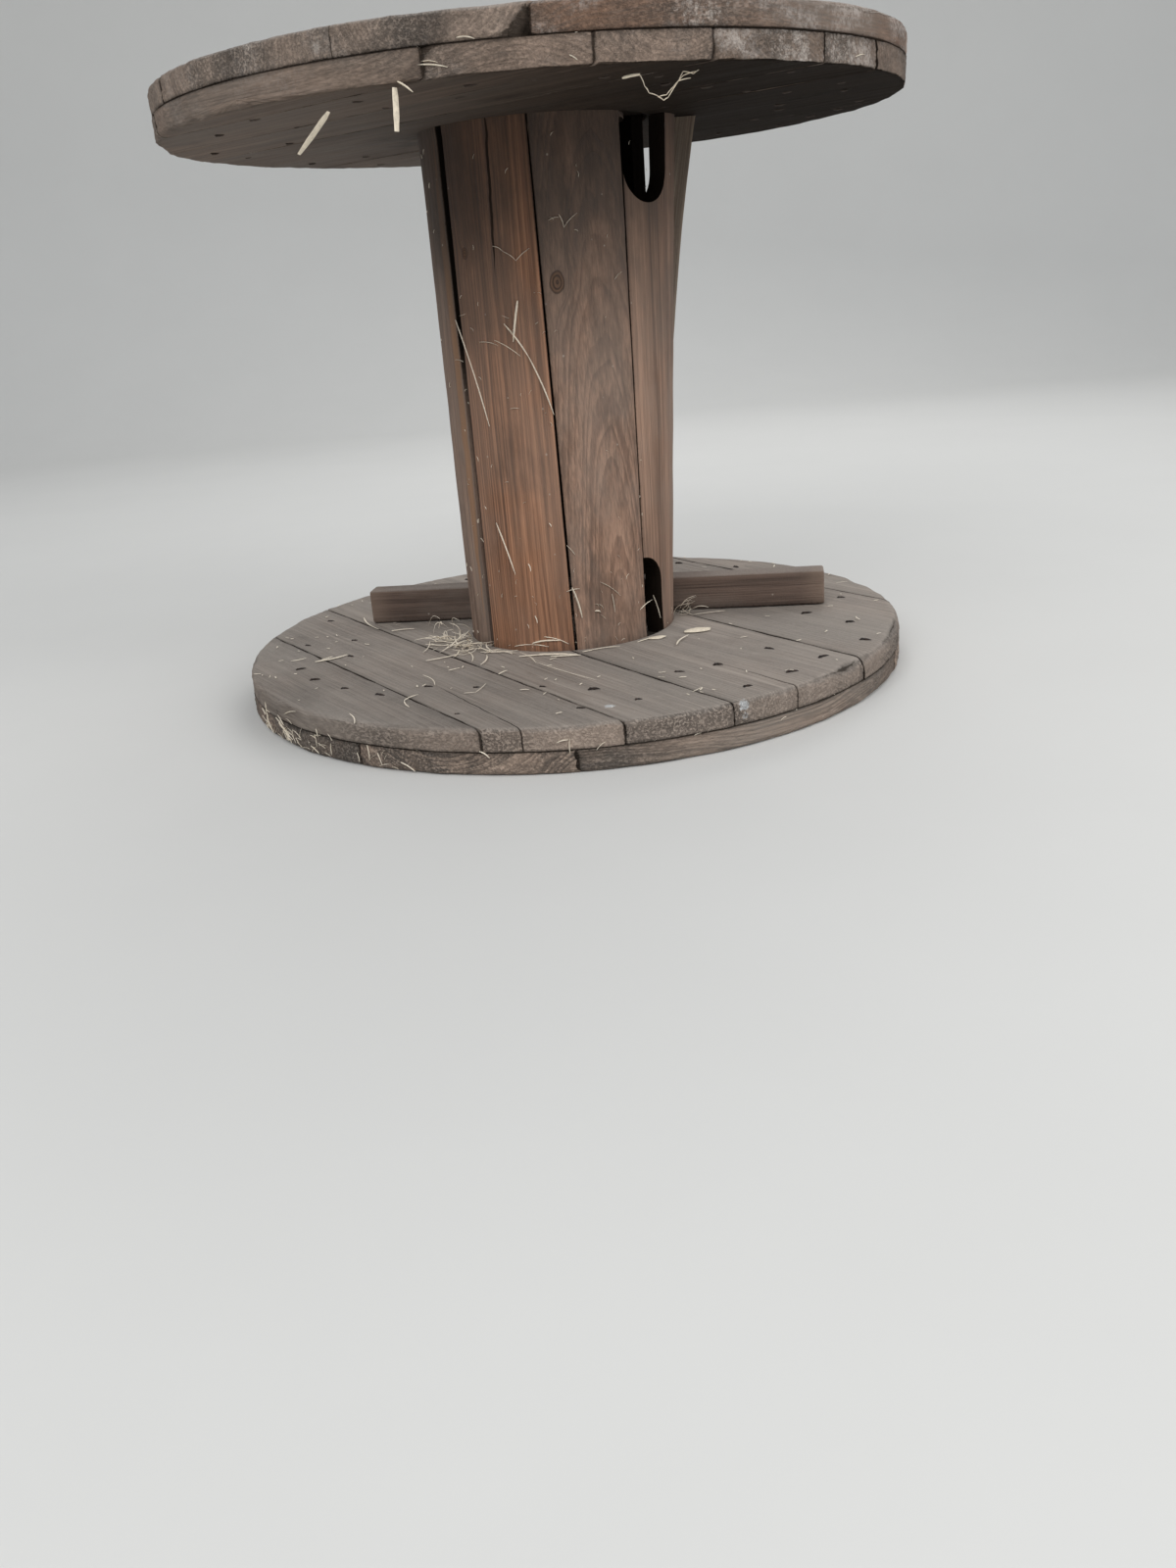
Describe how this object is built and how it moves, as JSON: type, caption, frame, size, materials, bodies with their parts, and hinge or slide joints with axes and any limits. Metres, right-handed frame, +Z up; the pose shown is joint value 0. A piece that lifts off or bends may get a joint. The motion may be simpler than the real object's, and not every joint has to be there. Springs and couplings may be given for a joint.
{
  "type": "wooden cable drum",
  "caption": "Weathered wooden drum on its end, with round flanges of crossed boards on a barrel of staves, for winding cable.",
  "frame": {"origin": "middle of the lower flange's bottom face, where the drum's axis meets the floor", "axes": "+Z up along the drum's axis; -Y is the front of the picture; +X to its right"},
  "size_m": [0.8, 0.8, 0.66],
  "materials": {
    "lower_flange_wood": "grey weathered softwood with worn rims and dust",
    "upper_flange_wood": "grey brown weathered softwood with orange brown end pieces",
    "stave_wood": "aged orange brown pine with strong grain and knots",
    "filler_wood": "aged pale softwood",
    "bar_wood": "dark aged softwood",
    "rod_steel": "rusted plain steel",
    "fastener_steel": "rusted plain steel"
  },
  "bodies": {
    "root": {"cross_bar": "bar_wood", "lower_inner_board_1": "lower_flange_wood", "lower_inner_board_2": "lower_flange_wood", "lower_inner_board_3": "lower_flange_wood", "lower_inner_board_4": "lower_flange_wood", "lower_inner_board_5": "lower_flange_wood", "lower_inner_board_6": "lower_flange_wood", "lower_nut_1": "fastener_steel", "lower_nut_2": "fastener_steel", "lower_nut_3": "fastener_steel", "lower_nut_4": "fastener_steel", "lower_outer_board_1": "lower_flange_wood", "lower_outer_board_2": "lower_flange_wood", "lower_outer_board_3": "lower_flange_wood", "lower_outer_board_4": "lower_flange_wood", "lower_outer_board_5": "lower_flange_wood", "lower_washer_1": "fastener_steel", "lower_washer_2": "fastener_steel", "lower_washer_3": "fastener_steel", "lower_washer_4": "fastener_steel", "stave_1": "stave_wood", "stave_2": "stave_wood", "stave_3": "stave_wood", "stave_4": "filler_wood", "stave_5": "stave_wood", "stave_6": "stave_wood", "stave_7": "stave_wood", "stave_8": "stave_wood", "tie_rod_1": "rod_steel", "tie_rod_2": "rod_steel", "tie_rod_3": "rod_steel", "tie_rod_4": "rod_steel", "upper_inner_board_1": "upper_flange_wood", "upper_inner_board_2": "upper_flange_wood", "upper_inner_board_3": "upper_flange_wood", "upper_inner_board_4": "upper_flange_wood", "upper_inner_board_5": "upper_flange_wood", "upper_inner_board_6": "upper_flange_wood", "upper_inner_board_7": "upper_flange_wood", "upper_nut_1": "fastener_steel", "upper_nut_2": "fastener_steel", "upper_nut_3": "fastener_steel", "upper_nut_4": "fastener_steel", "upper_outer_board_1": "upper_flange_wood", "upper_outer_board_2": "upper_flange_wood", "upper_outer_board_3": "upper_flange_wood", "upper_outer_board_4": "upper_flange_wood", "upper_outer_board_5": "upper_flange_wood", "upper_washer_1": "fastener_steel", "upper_washer_2": "fastener_steel", "upper_washer_3": "fastener_steel", "upper_washer_4": "fastener_steel"}
  },
  "joints": []
}
